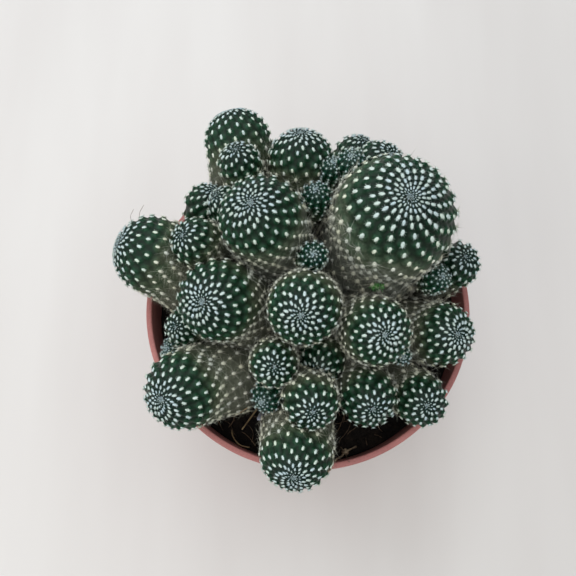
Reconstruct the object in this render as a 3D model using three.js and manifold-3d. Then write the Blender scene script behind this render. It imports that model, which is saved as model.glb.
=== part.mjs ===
// A clump of small round cactus heads in a plastic pot, in millimetres, +Z up.
// The origin is the middle of the pot's flat underside, and the photo looks along +Y from above.
import * as THREE from 'three';
import { ConvexHull } from 'three/addons/math/ConvexHull.js';
import { mergeVertices } from 'three/addons/utils/BufferGeometryUtils.js';
import Module from 'manifold-3d';

const wasm = await Module();
wasm.setup();

// pot: a 13 cm moulded plastic pot with a rim band
const potHeight = 100;
const rimOuterRadius = 65;
const rimWidth = 2.3;
const rimBandHeight = 20;
const rimBandTaper = 2.4;
const bandStep = 2.2;
const baseRadius = 46;
const baseChamfer = 1.5;
const wallThickness = 1.9;
const floorThickness = 2.4;
const rimRound = 0.6;
const potSides = 36;
const drainHoles = 6;
const drainHoleRadius = 4;
const drainCircleRadius = 32;
const drainHoleSides = 8;

// soil: fills the pot to a little under the rim, with a plain hole for each stem
const soilDepthUnderRim = 13;
const soilLump = 0.9;
const soilRings = [46, 30, 14];
const stemHoleSides = 9;
const clearance = 0.35;
const holeClearance = 0.5;

// room that the crowded heads leave to the rim, the soil and each other
const rimClearance = 2.8;
const soilClearance = 1.2;
const headClearance = 0.65;
const neighbourReach = 4;
const pressSteps = 12;

// heads: club-shaped stems, thick at the crown and thin at the foot
const footShare = 0.55;
const footDepth = 8;
const footRise = 4;
const crownFlattening = 0.93;
const fullWidthShare = 0.72;
const footDomeShare = 0.4;
const bendShare = 0.42;
const axisSteps = 22;
const meridianSteps = 240;

// tubercles: on every head they follow the golden-angle spiral from the crown down
const goldenAngle = Math.PI * (3 - Math.sqrt(5));
const tubercleSpacing = 5.7;
const spacingRadius = 13;
const apexSpacingShare = 0.62;
const flankGrowth = 0.05;
const hiddenGrowth = 2.2;
const hiddenBelow = 10;
const hiddenRange = 10;
const insideRange = 15;
const apexRange = 0.9;
const tubercleHeightShare = 0.24;
const apexHeightShare = 0.1;

// spines: one in three tubercles carries a stout spine, the rest end in their areole
const spineEvery = 3;
const spineLength = 2.2;
const spineWidth = 0.34;
const spineLean = 38;
const spineFirst = 4;
const spineFreeShare = 0.75;

const headColours = { old: '#2a4233', young: '#34584a' };

// crown: middle of the round crown, its height counted from the rim's top
// lean: degrees off the vertical, toward: compass direction of that lean from +X
// foot: where the stem enters the soil, or for a pup the place on its neighbour's flank
// footShare: a foot of its own thickness, for the barrel-shaped giant
const heads = [
  { name: 'head_01', crown: [30.5, 21.6, 40], radius: 22.3, lean: 8, toward: -40, foot: [23, 17], footShare: 0.75 },
  { name: 'head_02', crown: [-17.5, 20, 42], radius: 15.7, lean: 13, toward: -176, foot: [-12, 17] },
  { name: 'head_03', crown: [-33, -7.5, 32], radius: 15, lean: 26, toward: -135, foot: [-22, -11] },
  { name: 'head_04', crown: [-2.5, -13, 40], radius: 13, lean: 28, toward: -103, foot: [-1, -7] },
  { name: 'head_05', crown: [23.5, -19.5, 33], radius: 12.3, lean: 20, toward: -73, foot: [17, -9] },
  { name: 'head_06', crown: [50, -16.5, 17], radius: 12, lean: 21, toward: -40, foot: [34, -8] },
  { name: 'head_07', crown: [41.5, -40.5, 12], radius: 10, lean: 20, toward: -84, foot: [31, -27] },
  { name: 'head_08', crown: [21, -41, 20], radius: 10.6, lean: 32, toward: -82, foot: [17, -27] },
  { name: 'head_09', crown: [0, -43.5, 27], radius: 10, lean: 30, toward: -84, foot: [2, -31] },
  { name: 'head_10', crown: [-5, -60.5, 15], radius: 13.4, lean: 43, toward: -97, foot: [-5, -44] },
  { name: 'head_11', crown: [4.5, -26, 16], radius: 9.2, lean: 45, toward: -113, foot: [7, -19] },
  { name: 'head_12', crown: [-13, -30, 28], radius: 8.7, lean: 19, toward: -80, foot: [-11, -21] },
  { name: 'head_13', crown: [-45.8, -38.1, 21], radius: 14.5, lean: 36, toward: -139, foot: [-24, -28] },
  { name: 'head_14', crown: [-47, -13.5, 15], radius: 7.6, lean: 24, toward: -153, foot: [-37, -11] },
  { name: 'head_15', crown: [-60.8, 15.5, 16.5], radius: 15.5, lean: 55, toward: 170, foot: [-43, 8] },
  { name: 'head_16', crown: [-42.5, 16, 28], radius: 9.7, lean: 27, toward: -177, foot: [-31, 16] },
  { name: 'head_17', crown: [-40.5, 38, 12], radius: 9.5, lean: 31, toward: 39, foot: [-33, 31] },
  { name: 'head_18', crown: [-31.5, 32, 26], radius: 7.6, lean: 35, toward: 157, foot: [-22, 29] },
  { name: 'head_19', crown: [-28.5, 65.5, 15], radius: 13.9, lean: 58, toward: 105, foot: [-26, 46] },
  { name: 'head_20', crown: [-26.5, 47, 31], radius: 8.6, lean: 18, toward: 113, foot: [-10, 32] },
  { name: 'head_21', crown: [-3, 50.5, 27], radius: 13, lean: 33, toward: 93, foot: [-2, 42] },
  { name: 'head_22', crown: [20, 58.5, 13], radius: 10.2, lean: 35, toward: 59, foot: [12, 49] },
  { name: 'head_23', crown: [27.5, 48, 25], radius: 11.1, lean: 21, toward: 21, foot: [28, 42] },
  { name: 'head_24', crown: [57.5, 12.5, 14], radius: 9.5, lean: 11, toward: -3, foot: [47, 10] },
  { name: 'pup_01', crown: [15.5, 43.5, 38], radius: 5.9, lean: 5, toward: 156, foot: [14, 41, 22] },
  { name: 'pup_02', crown: [9, 43.5, 33], radius: 5.3, lean: 8, toward: 113, foot: [8, 40, 20] },
  { name: 'pup_03', crown: [2.5, 30.5, 37], radius: 5.9, lean: 7, toward: 139, foot: [0, 29, 25] },
  { name: 'pup_04', crown: [1, 6.5, 40], radius: 5.3, lean: 13, toward: -99, foot: [-2, 8, 28] },
  { name: 'pup_05', crown: [47, 2.5, 26], radius: 5.5, lean: 13, toward: -29, foot: [44, 4, 17] },
  { name: 'pup_06', crown: [33.5, -25.5, 21], radius: 3.6, lean: 24, toward: -97, foot: [31, -22, 16] },
  { name: 'pup_07', crown: [-15.5, -39.5, 16], radius: 6.2, lean: 37, toward: -128, foot: [-13, -34, 8] },
  { name: 'pup_08', crown: [-50.5, -20.5, 5], radius: 7, lean: 37, toward: 176, foot: [-46, -20, -1] },
];

const up = new THREE.Vector3(0, 0, 1);
const rimInnerRadius = rimOuterRadius - rimWidth;
const bandBottom = potHeight - rimBandHeight;
const soilTop = potHeight - soilDepthUnderRim;
const wallTopRadius = rimOuterRadius - rimBandTaper - bandStep;

// plain vertices and triangles of a geometry, with the doubled and empty ones gone
function weld(geometry) {
  const bare = geometry.clone();
  bare.deleteAttribute('normal');
  bare.deleteAttribute('uv');
  const merged = mergeVertices(bare, 1e-4);
  const index = merged.index.array;
  const kept = [];
  for (let i = 0; i < index.length; i += 3) {
    const [a, b, c] = [index[i], index[i + 1], index[i + 2]];
    if (a !== b && b !== c && c !== a) kept.push(a, b, c);
  }
  const vertProperties = new Float32Array(merged.attributes.position.array);
  return { vertProperties, triVerts: new Uint32Array(kept) };
}

function toSolid(geometry) {
  return new wasm.Manifold(new wasm.Mesh({ numProp: 3, ...weld(geometry) }));
}

function toGeometry(vertProperties, triVerts) {
  const geometry = new THREE.BufferGeometry();
  geometry.setAttribute('position', new THREE.BufferAttribute(new Float32Array(vertProperties), 3));
  geometry.setIndex(new THREE.BufferAttribute(new Uint32Array(triVerts), 1));
  return geometry;
}

// upright prism between two heights, for a hole
function post(radius, sides, x, y, bottom, top) {
  const geometry = new THREE.CylinderGeometry(radius, radius, top - bottom, sides);
  geometry.rotateX(Math.PI / 2);
  geometry.translate(x, y, (top + bottom) / 2);
  return toSolid(geometry);
}

// solid of revolution about the pot's axis
function turned(profile) {
  const geometry = new THREE.LatheGeometry(profile.map(([r, z]) => new THREE.Vector2(r, z)), potSides);
  geometry.rotateX(Math.PI / 2);
  return geometry;
}

// inner wall of the pot: radius at a height
const innerWall = [
  [baseRadius - wallThickness, floorThickness],
  [wallTopRadius - wallThickness, bandBottom - 3],
  [rimOuterRadius - rimBandTaper - rimWidth, bandBottom],
  [rimInnerRadius, potHeight - rimRound],
];

function innerRadiusAt(z) {
  for (let i = 1; i < innerWall.length; i += 1) {
    const [lowRadius, low] = innerWall[i - 1];
    const [highRadius, high] = innerWall[i];
    if (z < high) return lowRadius + (highRadius - lowRadius) * Math.max(0, (z - low) / (high - low));
  }
  return rimInnerRadius;
}

function makePot() {
  const profile = [
    [0, 0],
    [baseRadius - baseChamfer, 0],
    [baseRadius, baseChamfer],
    [wallTopRadius, bandBottom - 1],
    [rimOuterRadius - rimBandTaper, bandBottom],
    [rimOuterRadius, potHeight - rimRound],
    [rimOuterRadius - rimRound, potHeight],
    [rimInnerRadius + rimRound, potHeight],
    ...innerWall.slice().reverse(),
    [0, floorThickness],
  ];
  let pot = toSolid(turned(profile));
  for (let i = 0; i < drainHoles; i += 1) {
    const angle = (i + 0.5) * 2 * Math.PI / drainHoles;
    const x = drainCircleRadius * Math.cos(angle);
    const y = drainCircleRadius * Math.sin(angle);
    pot = pot.subtract(post(drainHoleRadius, drainHoleSides, x, y, -1, floorThickness + 1));
  }
  const { vertProperties, triVerts } = pot.getMesh();
  return toGeometry(vertProperties, triVerts);
}

// height of the lumpy soil
function soilHeight(x, y) {
  const coarse = Math.sin(x * 0.21 + 1.3) * Math.cos(y * 0.17 - 0.6);
  const fine = Math.sin(x * 0.47 - y * 0.39 + 2.1);
  return soilTop + soilLump * (0.65 * coarse + 0.35 * fine);
}

function makeSoil(stems) {
  const underside = floorThickness + clearance;
  const wall = innerWall.slice(0, 3).map(([r, z]) => [r - clearance, Math.max(z, underside)]);
  const profile = [
    [0, underside],
    ...wall,
    [innerRadiusAt(soilTop) - clearance, soilTop],
    ...soilRings.map((r) => [r, soilTop]),
    [0, soilTop],
  ];
  const geometry = turned(profile);
  const place = geometry.attributes.position;
  for (let i = 0; i < place.count; i += 1) {
    if (place.getZ(i) > soilTop - 0.01) place.setZ(i, soilHeight(place.getX(i), place.getY(i)));
  }
  let soil = toSolid(geometry);
  for (const stem of stems.filter((each) => each.inSoil)) {
    const radius = (stem.footRadius + holeClearance) / Math.cos(Math.PI / stemHoleSides);
    soil = soil.subtract(post(radius, stemHoleSides, stem.foot.x, stem.foot.y, stem.holeBottom, potHeight));
  }
  const { vertProperties, triVerts } = soil.getMesh();
  return toGeometry(vertProperties, triVerts);
}

const smooth = (t) => THREE.MathUtils.smoothstep(t, 0, 1);

// direction at an angle off the vertical, turned about it
function toSphere(tilt, turn) {
  const flat = Math.sin(tilt);
  return new THREE.Vector3(flat * Math.cos(turn), flat * Math.sin(turn), Math.cos(tilt));
}

// one stem: its bent axis from the crown's middle down to the foot, and its radius along the way
function makeStem(head) {
  const tilt = THREE.MathUtils.degToRad(head.lean);
  const turn = THREE.MathUtils.degToRad(head.toward);
  const aim = toSphere(tilt, turn);
  const crown = new THREE.Vector3(head.crown[0], head.crown[1], potHeight + head.crown[2]);
  const inSoil = head.foot.length === 2;
  const footHeight = inSoil ? soilTop + footRise : potHeight + head.foot[2];
  const foot = new THREE.Vector3(head.foot[0], head.foot[1], footHeight);
  const rise = inSoil ? up.clone() : crown.clone().sub(foot).normalize();
  const bend = crown.distanceTo(foot) * bendShare;
  const axis = new THREE.CurvePath();
  const nearCrown = crown.clone().addScaledVector(aim, -bend);
  const nearFoot = foot.clone().addScaledVector(rise, bend);
  axis.add(new THREE.CubicBezierCurve3(crown, nearCrown, nearFoot, foot));
  if (inSoil) axis.add(new THREE.LineCurve3(foot, foot.clone().addScaledVector(up, -footDepth - footRise)));
  const footRadius = head.radius * (head.footShare ?? footShare);
  const stem = { ...head, aim, inSoil, foot, length: axis.getLength(), footRadius };
  stem.freeLength = inSoil ? stem.length - footDepth - footRise : stem.length;
  const side = new THREE.Vector3().crossVectors(up, aim);
  if (side.length() < 0.05) side.set(0, 1, 0);
  stem.axis = [];
  for (let i = 0; i <= axisSteps; i += 1) {
    const down = axis.getTangentAt(i / axisSteps).normalize();
    const out = side.clone().addScaledVector(down, -side.dot(down)).normalize();
    const across = new THREE.Vector3().crossVectors(down, out).negate();
    stem.axis.push({ at: axis.getPointAt(i / axisSteps), down, out, across });
  }
  stem.balls = stem.axis.map(({ at }, i) => ({ at, radius: radiusAlong(stem, stem.length * i / axisSteps) }));
  stem.holeBottom = soilTop - footDepth - stem.footRadius * footDomeShare - clearance;
  return stem;
}

function radiusAlong(stem, distance) {
  const share = (distance / stem.freeLength - fullWidthShare) / (1 - fullWidthShare);
  return stem.radius + (stem.footRadius - stem.radius) * smooth(share);
}

// distance from a point to the smooth outside of a stem, negative inside it
function distanceTo(stem, point) {
  let least = Infinity;
  for (const ball of stem.balls) least = Math.min(least, point.distanceTo(ball.at) - ball.radius);
  return least;
}

// distance from a point above the soil to the pot's inner wall and the top of its rim
function distanceToPot(point) {
  const inward = innerRadiusAt(point.z) - Math.hypot(point.x, point.y);
  if (point.z < potHeight) return inward;
  return Math.hypot(Math.max(0, inward), point.z - potHeight);
}

// true where a point of a stem keeps clear of its neighbours, the soil and the pot
function isFree(stem, point) {
  const own = distanceTo(stem, point);
  if (stem.neighbours.some((other) => distanceTo(other, point) - own < headClearance)) return false;
  const aside = Math.hypot(point.x - stem.foot.x, point.y - stem.foot.y);
  const inHole = stem.inSoil && aside < stem.footRadius + 0.01;
  if (!inHole && point.z < soilHeight(point.x, point.y) + soilClearance) return false;
  return distanceToPot(point) > rimClearance;
}

// crowded stems flatten each other: a point is drawn in along its own ray until it is free
function press(stem, anchor, point) {
  if (isFree(stem, point)) return point;
  let [inside, outside] = [0.05, 1];
  for (let i = 0; i < pressSteps; i += 1) {
    const middle = (inside + outside) / 2;
    const tried = anchor.clone().lerp(point, middle);
    if (isFree(stem, tried)) inside = middle;
    else outside = middle;
  }
  return anchor.clone().lerp(point, inside);
}

// a stem's outline from the crown's tip (s = 0) to the middle of the foot's underside
function outlineAt(stem, s) {
  const capEnd = stem.radius * Math.PI / 2;
  if (s < capEnd) {
    const angle = s / stem.radius;
    return {
      distance: 0,
      radius: stem.radius * Math.sin(angle),
      rise: stem.radius * crownFlattening * Math.cos(angle),
    };
  }
  if (s < capEnd + stem.length) {
    return { distance: s - capEnd, radius: radiusAlong(stem, s - capEnd), rise: 0 };
  }
  const angle = Math.min((s - capEnd - stem.length) / stem.footRadius, Math.PI / 2);
  return {
    distance: stem.length,
    radius: stem.footRadius * Math.cos(angle),
    rise: -stem.footRadius * footDomeShare * Math.sin(angle),
  };
}

// point of the outline turned about the axis, sunk by a drop
function surfaceAt(stem, s, angle, drop) {
  const { distance, radius, rise } = outlineAt(stem, s);
  const step = distance / stem.length * axisSteps;
  const i = Math.min(Math.floor(step), axisSteps - 1);
  const [a, b] = [stem.axis[i], stem.axis[i + 1]];
  const blend = (key) => a[key].clone().lerp(b[key], step - i);
  const anchor = blend('at');
  const size = Math.max(Math.hypot(radius, rise), 0.01);
  const shrink = 1 - Math.min(drop / size, 0.5);
  const point = anchor.clone()
    .addScaledVector(blend('out').normalize(), radius * shrink * Math.cos(angle))
    .addScaledVector(blend('across').normalize(), radius * shrink * Math.sin(angle))
    .addScaledVector(blend('down').normalize(), -rise * shrink);
  return { anchor, point };
}

// spacing of the tubercles at a place of the outline: close at the tip, wide on the hidden flank
function spacingAt(stem, s) {
  const full = tubercleSpacing * Math.sqrt(stem.radius / spacingRadius);
  const fromTip = apexSpacingShare + (1 - apexSpacingShare) * smooth(s / (apexRange * stem.radius));
  const below = Math.max(0, s - stem.radius * Math.PI / 2);
  const { distance } = outlineAt(stem, s);
  const { at } = stem.axis[Math.min(Math.round(distance / stem.length * axisSteps), axisSteps)];
  const deep = smooth((potHeight + hiddenBelow - at.z) / hiddenRange);
  const inside = smooth((rimInnerRadius - Math.hypot(at.x, at.y)) / insideRange);
  const hidden = 1 + (hiddenGrowth - 1) * deep * inside;
  return full * fromTip * (1 + flankGrowth * below) * hidden;
}

// running sums along the outline: tubercles passed, and the angle on a sphere that keeps shapes
function measure(stem) {
  const end = stem.radius * Math.PI / 2 + stem.length + stem.footRadius * Math.PI / 2;
  const rows = [];
  let count = 0;
  let stretch = 0;
  const step = end / meridianSteps;
  for (let i = 0; i <= meridianSteps; i += 1) {
    const s = Math.max(i * step, step * 0.1);
    const width = Math.max(outlineAt(stem, s).radius, 0.02);
    rows.push({ s, count, stretch });
    const area = 2 * Math.PI * width * step;
    count += area / (spacingAt(stem, s) ** 2 * Math.sqrt(3) / 2);
    stretch += step / width;
  }
  const middle = rows[Math.floor(meridianSteps / 2)].stretch;
  for (const row of rows) row.polar = 2 * Math.atan(Math.exp(row.stretch - middle));
  return rows;
}

function lookUp(rows, key, value, wanted) {
  let i = 1;
  while (i < rows.length - 1 && rows[i][key] < value) i += 1;
  const [low, high] = [rows[i - 1], rows[i]];
  const share = THREE.MathUtils.clamp((value - low[key]) / (high[key] - low[key]), 0, 1);
  return low[wanted] + (high[wanted] - low[wanted]) * share;
}

// tubercle tips of a stem, each with its place on the outline and on a unit sphere,
// where every head's spiral starts at an angle of its own
function makeTips(stem, rows) {
  const total = Math.floor(rows[rows.length - 1].count);
  const tips = [];
  for (let n = 0; n < total; n += 1) {
    const s = lookUp(rows, 'count', n + 0.5, 's');
    const angle = n * goldenAngle + stem.foot.x;
    tips.push({ s, angle, onSphere: toSphere(lookUp(rows, 's', s, 'polar'), angle) });
  }
  tips.push({ s: rows[rows.length - 1].s, angle: 0, onSphere: new THREE.Vector3(0, 0, -1) });
  return tips;
}

// the six or so triangles of tips round each tip, as the loop of the valleys between them
function findCells(tips) {
  const number = new Map(tips.map((tip, i) => [tip.onSphere, i]));
  const hull = new ConvexHull().setFromPoints(tips.map((tip) => tip.onSphere));
  const valleys = [];
  const around = tips.map(() => new Map());
  for (const face of hull.faces) {
    const corners = [0, 1, 2].map((i) => number.get(face.getEdge(i).head().point));
    corners.forEach((corner, i) => {
      around[corner].set(corners[(i + 1) % 3], { valley: valleys.length, next: corners[(i + 2) % 3] });
    });
    const middle = new THREE.Vector3();
    corners.forEach((corner) => middle.add(tips[corner].onSphere));
    valleys.push(middle.normalize());
  }
  const loops = around.map((steps) => {
    const [first] = steps.keys();
    const loop = [];
    let neighbour = first;
    do {
      const { valley, next } = steps.get(neighbour);
      loop.push(valley);
      neighbour = next;
    } while (neighbour !== first);
    return loop;
  });
  return { valleys, loops };
}

function heightAt(stem, s) {
  const deep = smooth(s / stem.radius);
  const share = apexHeightShare + (tubercleHeightShare - apexHeightShare) * deep;
  const inFoot = s > stem.radius * Math.PI / 2 + stem.freeLength;
  return inFoot ? 0 : share * Math.min(spacingAt(stem, s), tubercleSpacing);
}

// a head as one closed skin: six triangles to a tubercle, with a spine on some of the tips
function makeHead(stem) {
  const rows = measure(stem);
  const tips = makeTips(stem, rows);
  const { valleys, loops } = findCells(tips);
  const points = [];
  const triangles = [];
  const add = (point) => points.push(point) - 1;
  for (const valley of valleys) {
    const s = lookUp(rows, 'polar', Math.acos(valley.z), 's');
    const { anchor, point } = surfaceAt(stem, s, Math.atan2(valley.y, valley.x), heightAt(stem, s));
    add(press(stem, anchor, point));
  }
  tips.forEach((tip, n) => {
    const loop = loops[n];
    const after = (i) => (i + 1) % loop.length;
    const { anchor, point } = surfaceAt(stem, tip.s, tip.angle, 0);
    const spine = n % spineEvery === 1 && n > spineFirst ? aimSpine(stem, tip, point, n) : null;
    const nearest = spine ? loop.map((valley) => collarCorner(spine, point, points[valley])) : [];
    const passed = nearest.reduce((sum, corner, i) => sum + (nearest[after(i)] - corner + 3) % 3, 0);
    if (passed !== 3) {
      const peak = add(press(stem, anchor, point));
      loop.forEach((valley, i) => triangles.push(peak, valley, loop[after(i)]));
      return;
    }
    const collar = [0, 1, 2].map((i) => {
      const angle = i * 2 * Math.PI / 3;
      return add(point.clone()
        .addScaledVector(spine.east, spineWidth * Math.cos(angle))
        .addScaledVector(spine.north, spineWidth * Math.sin(angle)));
    });
    const peak = add(spine.end);
    collar.forEach((corner, i) => triangles.push(corner, collar[(i + 1) % 3], peak));
    loop.forEach((valley, i) => {
      const next = loop[after(i)];
      triangles.push(valley, next, collar[nearest[i]]);
      for (let at = nearest[i]; at !== nearest[after(i)]; at = (at + 1) % 3) {
        triangles.push(collar[at], next, collar[(at + 1) % 3]);
      }
    });
  });
  return toGeometry(points.flatMap((point) => point.toArray()), triangles);
}

// which of the three corners round a spine's root lies nearest to a valley
function collarCorner(spine, root, valley) {
  const offset = valley.clone().sub(root);
  const angle = Math.atan2(offset.dot(spine.north), offset.dot(spine.east));
  return (Math.round(angle / (2 * Math.PI / 3)) + 3) % 3;
}

// a spine leans away from its tubercle, each one another way round, and is left out where it lacks room
function aimSpine(stem, tip, point, n) {
  const step = 0.3;
  const east = surfaceAt(stem, tip.s, tip.angle + step / stem.radius, 0).point.sub(point).normalize();
  const south = surfaceAt(stem, tip.s + step, tip.angle, 0).point.sub(point).normalize();
  const normal = new THREE.Vector3().crossVectors(south, east).normalize();
  const north = new THREE.Vector3().crossVectors(normal, east);
  const lean = THREE.MathUtils.degToRad(spineLean);
  const turn = n * goldenAngle * 2;
  const end = point.clone()
    .addScaledVector(normal, spineLength * Math.cos(lean))
    .addScaledVector(east, spineLength * Math.sin(lean) * Math.cos(turn))
    .addScaledVector(north, spineLength * Math.sin(lean) * Math.sin(turn));
  const hidden = outlineAt(stem, tip.s).distance > stem.freeLength * spineFreeShare;
  if (hidden || !isFree(stem, end) || !isFree(stem, point)) return null;
  return { east, north, end };
}

function makeMesh(name, geometry, colour, roughness) {
  const material = new THREE.MeshStandardMaterial({ color: colour, roughness, metalness: 0 });
  const mesh = new THREE.Mesh(geometry, material);
  mesh.name = name;
  return mesh;
}

const stems = heads.map(makeStem);
for (const stem of stems) {
  stem.neighbours = stems.filter((other) => other !== stem
    && stem.balls.some((ball) => distanceTo(other, ball.at) < ball.radius + neighbourReach));
}

const group = new THREE.Group();
group.name = 'potted_round_cactus';
group.add(makeMesh('pot', makePot(), '#8e5a58', 0.6));
group.add(makeMesh('soil', makeSoil(stems), '#2b211c', 0.95));
for (const stem of stems) {
  const colour = stem.inSoil ? headColours.old : headColours.young;
  group.add(makeMesh(stem.name, makeHead(stem), colour, 0.7));
}

export default group;
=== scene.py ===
import math
import random
import bmesh
import bpy
import numpy as np
from mathutils import Matrix, Vector, noise


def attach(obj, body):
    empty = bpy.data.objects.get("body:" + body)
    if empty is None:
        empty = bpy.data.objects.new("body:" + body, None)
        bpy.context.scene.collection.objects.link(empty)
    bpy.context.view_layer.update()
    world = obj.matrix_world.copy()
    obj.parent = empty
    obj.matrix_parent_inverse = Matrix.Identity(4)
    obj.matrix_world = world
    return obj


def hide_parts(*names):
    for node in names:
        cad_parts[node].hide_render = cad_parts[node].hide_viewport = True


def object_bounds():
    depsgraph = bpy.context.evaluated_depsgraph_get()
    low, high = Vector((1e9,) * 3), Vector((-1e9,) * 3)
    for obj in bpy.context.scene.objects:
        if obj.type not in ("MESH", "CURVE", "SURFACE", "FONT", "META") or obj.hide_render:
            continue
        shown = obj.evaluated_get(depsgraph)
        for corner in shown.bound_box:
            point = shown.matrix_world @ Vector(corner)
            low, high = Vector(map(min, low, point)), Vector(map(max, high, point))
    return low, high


# A clump of round cactus heads in a plastic pot, dressed around its solids. Metres, +Z up.
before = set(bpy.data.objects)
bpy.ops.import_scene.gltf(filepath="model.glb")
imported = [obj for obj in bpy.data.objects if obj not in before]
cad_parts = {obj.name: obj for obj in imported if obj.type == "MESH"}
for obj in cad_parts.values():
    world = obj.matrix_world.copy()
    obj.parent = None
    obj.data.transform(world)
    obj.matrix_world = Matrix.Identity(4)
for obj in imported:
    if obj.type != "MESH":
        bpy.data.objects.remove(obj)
cadLow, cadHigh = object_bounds()


def linear(hexColour):
    parts = [int(hexColour[i:i + 2], 16) / 255 for i in (1, 3, 5)]
    return [p / 12.92 if p <= 0.04045 else ((p + 0.055) / 1.055) ** 2.4 for p in parts] + [1.0]


def perMetre(millimetres):
    return 1000 / millimetres  # texture scale for a pattern this many mm across


# a link comes from a socket, or from a node's first output
def link(tree, links, node):
    for key, source in links.items():
        tree.links.new(source.outputs[0] if hasattr(source, "outputs") else source, node.inputs[key])


def addNode(tree, kind, settings=None, links=None):
    node = tree.nodes.new("ShaderNode" + kind)
    for key, value in (settings or {}).items():
        if key == "stops":
            ramp = node.color_ramp.elements
            for place, colour in value[1:-1]:
                ramp.new(place)
            for stop, (place, colour) in zip(ramp, value):
                stop.position, stop.color = place, linear(colour)
        elif isinstance(key, int) or key in node.inputs:
            node.inputs[key].default_value = value
        else:
            setattr(node, key, value)
    link(tree, links or {}, node)
    return node


multiply = {"data_type": "RGBA", "blend_type": "MULTIPLY"}


def newMaterial(name, roughness, ior=1.45, gloss=0.5):
    material = bpy.data.materials.new(name)
    material.use_nodes = True
    shader = material.node_tree.nodes["Principled BSDF"]
    shader.inputs["Roughness"].default_value = roughness
    shader.inputs["IOR"].default_value = ior
    shader.inputs["Specular IOR Level"].default_value = gloss
    place = addNode(material.node_tree, "TexCoord").outputs["Object"]
    return material, material.node_tree, shader, place


def addToScene(name, data):
    added = bpy.data.objects.new(name, data)
    bpy.context.scene.collection.objects.link(added)
    return added


def toMesh(bm, name):
    mesh = bpy.data.meshes.new(name)
    bm.to_mesh(mesh)
    bm.free()
    return mesh


def makeObject(name, mesh, materials, slot=None):
    piece = addToScene(name, mesh)
    for material in materials:
        mesh.materials.append(material)
    for face in mesh.polygons:
        face.use_smooth = True
    if slot:
        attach(piece, "root")
    return piece


def addAttribute(mesh, name, values):
    layer = mesh.attributes.new(name, "FLOAT", "POINT")
    layer.data.foreach_set("value", np.asarray(values, np.float32))


def smoothStep(t):
    t = np.clip(t, 0, 1)
    return t * t * (3 - 2 * t)


moveTo = Matrix.Translation


def turnedTo(direction):
    return direction.to_track_quat("Z", "Y").to_matrix().to_4x4()


# adds a copy of a small mesh to a larger one
def stamp(bm, shape, matrix):
    shape.transform(matrix)
    bm.from_mesh(shape)
    shape.transform(matrix.inverted())


# --- camera: it looks down on the pot, 17.5 degrees off the vertical
cameraView = {"place": (-0.008, -0.084, 0.3887), "tilt": 17.5, "lens": 46.75, "sensor": 36,
              "pixels": 576, "nearest": 0.01}
camera = addToScene("camera", bpy.data.cameras.new("camera"))
camera.data.lens, camera.data.sensor_width = cameraView["lens"], cameraView["sensor"]
camera.location = cameraView["place"]
camera.rotation_euler = (math.radians(cameraView["tilt"]), 0, 0)
camera.data.clip_start = cameraView["nearest"]
bpy.context.scene.camera = camera

# --- heads: crown's middle (height over the rim), radius, lean off the vertical, compass
# direction of the lean, where the foot stands (pups: also its height over the rim), how far
# down the skin stays green, in radii from the tip, and the giant's foot as a share of its radius
headList = [
    ((30.5, 21.6, 40), 22.3, 8, -40, (23, 17), 1.2, 0.75),
    ((-17.5, 20, 42), 15.7, 13, -176, (-12, 17), 1.45),
    ((-33, -7.5, 32), 15, 26, -135, (-22, -11), 1.4),
    ((-2.5, -13, 40), 13, 28, -103, (-1, -7), 1.35),
    ((23.5, -19.5, 33), 12.3, 20, -73, (17, -9), 1.3),
    ((50, -16.5, 17), 12, 21, -40, (34, -8), 1.4),
    ((41.5, -40.5, 12), 10, 20, -84, (31, -27), 1.6),
    ((21, -41, 20), 10.6, 32, -82, (17, -27), 1.6),
    ((0, -43.5, 27), 10, 30, -84, (2, -31), 1.4),
    ((-5, -60.5, 15), 13.4, 43, -97, (-5, -44), 1.4),
    ((4.5, -26, 16), 9.2, 45, -113, (7, -19), 1.3),
    ((-13, -30, 28), 8.7, 19, -80, (-11, -21), 1.35),
    ((-45.8, -38.1, 21), 14.5, 36, -139, (-24, -28), 1.5),
    ((-47, -13.5, 15), 7.6, 24, -153, (-37, -11), 1.35),
    ((-60.8, 15.5, 16.5), 15.5, 55, 170, (-43, 8), 1.45),
    ((-42.5, 16, 28), 9.7, 27, -177, (-31, 16), 1.35),
    ((-40.5, 38, 12), 9.5, 31, 39, (-33, 31), 1.7),
    ((-31.5, 32, 26), 7.6, 35, 157, (-22, 29), 1.6),
    ((-28.5, 65.5, 15), 13.9, 58, 105, (-26, 46), 1.75),
    ((-26.5, 47, 31), 8.6, 18, 113, (-10, 32), 1.9),
    ((-3, 50.5, 27), 13, 33, 93, (-2, 42), 1.6),
    ((20, 58.5, 13), 10.2, 35, 59, (12, 49), 1.6),
    ((27.5, 48, 25), 11.1, 21, 21, (28, 42), 1.7),
    ((57.5, 12.5, 14), 9.5, 11, -3, (47, 10), 1.8),
]
pupList = [
    ((15.5, 43.5, 38), 5.9, 5, 156, (14, 41, 22)),
    ((9, 43.5, 33), 5.3, 8, 113, (8, 40, 20)),
    ((2.5, 30.5, 37), 5.9, 7, 139, (0, 29, 25)),
    ((1, 6.5, 40), 5.3, 13, -99, (-2, 8, 28)),
    ((47, 2.5, 26), 5.5, 13, -29, (44, 4, 17)),
    ((33.5, -25.5, 21), 3.6, 24, -97, (31, -22, 16)),
    ((-15.5, -39.5, 16), 6.2, 37, -128, (-13, -34, 8)),
    ((-50.5, -20.5, 5), 7, 37, 176, (-46, -20, -1)),
]

potShape = {
    "height": 0.100, "rimRadius": 0.065, "rimInner": 0.0627, "bandBottom": 0.080,
    "bandTaper": 0.0024, "bandStep": 0.0022, "baseRadius": 0.046, "chamfer": 0.0015,
    "floor": 0.0024, "rimRound": 0.0006, "stepRound": 0.0004, "steps": 128,
    "drainRadius": 0.004, "drainCircle": 0.032, "drainHoles": 6,
}
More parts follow.
